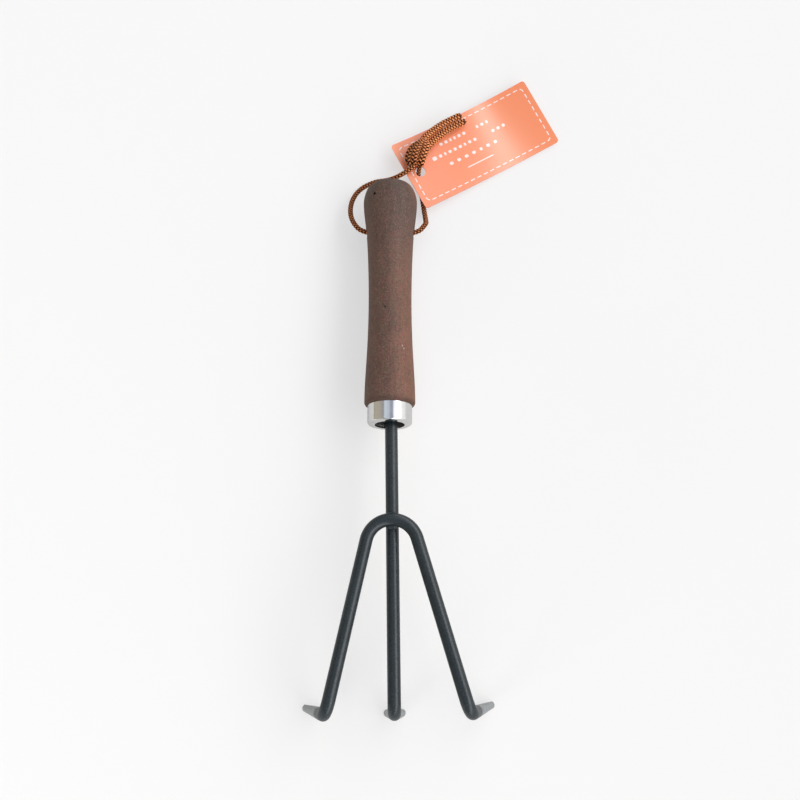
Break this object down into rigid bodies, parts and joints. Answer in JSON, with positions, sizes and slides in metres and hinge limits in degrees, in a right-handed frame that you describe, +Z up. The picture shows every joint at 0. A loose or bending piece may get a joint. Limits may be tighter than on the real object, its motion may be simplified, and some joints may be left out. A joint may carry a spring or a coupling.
{
  "type": "hand cultivator",
  "caption": "Hand cultivator with a turned wooden handle, aluminium ferrule, black steel rod tines with forged tips, a braided hanging loop and a blank card tag.",
  "frame": {"origin": "middle of the tool's footprint, on the ground that it lies on; the cord and the tag are left out of the footprint", "axes": "+Y towards the butt of the handle, +Z up, +X to the right when the tool is seen with its tines nearest"},
  "size_m": [0.1294, 0.3245, 0.0406],
  "materials": {
    "stained_wood": "dark brown stain, matt",
    "aluminium": "polished",
    "black_paint": "satin black paint, worn grey at the tips",
    "adhesive": "hard adhesive",
    "cord": "brown braid",
    "card": "coated card"
  },
  "bodies": {
    "tool": {"handle": "stained_wood", "ferrule": "aluminium", "shank_and_center_tine": "black_paint", "outer_tines": "black_paint", "weld_bead_shank_side": "black_paint", "weld_bead_tine_side": "black_paint", "tang_adhesive": "adhesive"},
    "hang_loop": {"cord_left": "cord", "cord_right": "cord", "cord_knot": "cord", "cord_tail_upper": "cord", "cord_tail_lower": "cord"},
    "tag": {"hang_tag": "card"}
  },
  "joints": [
    {"name": "loop_swing", "type": "hinge", "parent": "tool", "child": "hang_loop", "pos_m": [-0.0044, 0.10158, 0.01479], "axis": [1, 0, 0], "range_deg": [0, 150]},
    {"name": "tag_swing", "type": "hinge", "parent": "hang_loop", "child": "tag", "pos_m": [0.0112, 0.1402, 0.0051], "axis": [0.0787, -0.056, 0.9953], "range_deg": [-3, 12]}
  ]
}
